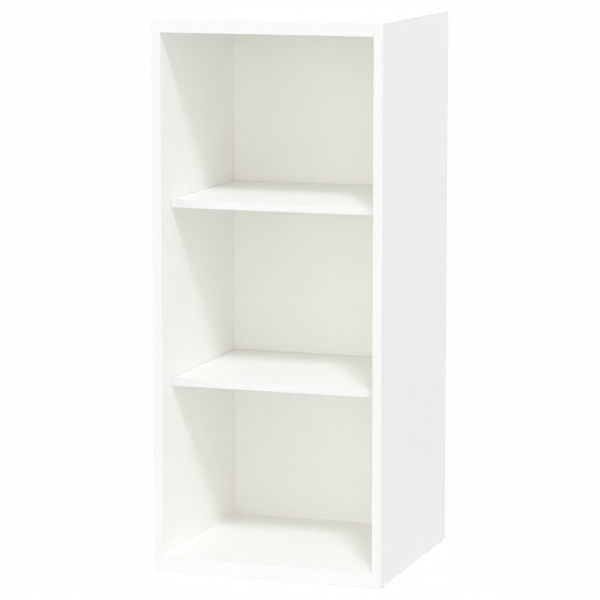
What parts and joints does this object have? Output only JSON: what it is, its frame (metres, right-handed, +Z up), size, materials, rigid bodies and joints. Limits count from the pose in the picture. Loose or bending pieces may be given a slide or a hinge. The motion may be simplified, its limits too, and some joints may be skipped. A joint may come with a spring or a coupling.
{
  "type": "bookcase",
  "caption": "Tall narrow open office bookcase in white melamine-faced board, with loose shelves set back from the front and a back panel let in between the sides.",
  "frame": {"origin": "on the floor under the middle of the case, at the middle of its width and depth", "axes": "+X to the right seen from the open front, +Y from the front to the rear, +Z up"},
  "size_m": [0.45, 0.43, 1.05],
  "materials": {
    "melamine_board": "white melamine faces, satin, on particle board",
    "edge_band": "white ABS edging, satin",
    "back_board": "white foil on thin fibreboard, matt",
    "zinc": "die-cast zinc, dull",
    "steel": "zinc-plated steel",
    "nickel": "nickel-plated steel, polished",
    "beech": "bare beech",
    "cover_plastic": "white polyethylene, satin",
    "glide_plastic": "off-white polyethylene, matt"
  },
  "bodies": {
    "case": {"left_side_board": "melamine_board", "right_side_board": "melamine_board", "top_board": "melamine_board", "bottom_board": "melamine_board", "left_side_front_band": "edge_band", "left_side_rear_band": "edge_band", "left_side_top_band": "edge_band", "right_side_front_band": "edge_band", "right_side_rear_band": "edge_band", "right_side_top_band": "edge_band", "top_front_band": "edge_band", "top_rear_band": "edge_band", "bottom_front_band": "edge_band", "bottom_rear_band": "edge_band", "back_panel": "back_board", "top_cam_locks": "zinc", "top_cam_bolts": "steel", "top_dowels": "beech", "bottom_cam_locks": "zinc", "bottom_cam_bolts": "steel", "bottom_dowels": "beech", "cam_covers": "cover_plastic", "upper_shelf_pins": "nickel", "lower_shelf_pins": "nickel", "front_left_glide": "glide_plastic", "front_right_glide": "glide_plastic", "rear_left_glide": "glide_plastic", "rear_right_glide": "glide_plastic", "glide_nails": "steel"},
    "upper_shelf": {"upper_shelf_board": "melamine_board", "upper_shelf_front_band": "edge_band", "upper_shelf_rear_band": "edge_band", "upper_shelf_left_band": "edge_band", "upper_shelf_right_band": "edge_band"},
    "lower_shelf": {"lower_shelf_board": "melamine_board", "lower_shelf_front_band": "edge_band", "lower_shelf_rear_band": "edge_band", "lower_shelf_left_band": "edge_band", "lower_shelf_right_band": "edge_band"}
  },
  "joints": [
    {"name": "upper_shelf_slide", "type": "slide", "parent": "case", "child": "upper_shelf", "axis": [0, -1, 0], "range_m": [0, 0.396]},
    {"name": "lower_shelf_slide", "type": "slide", "parent": "case", "child": "lower_shelf", "axis": [0, -1, 0], "range_m": [0, 0.396]}
  ]
}
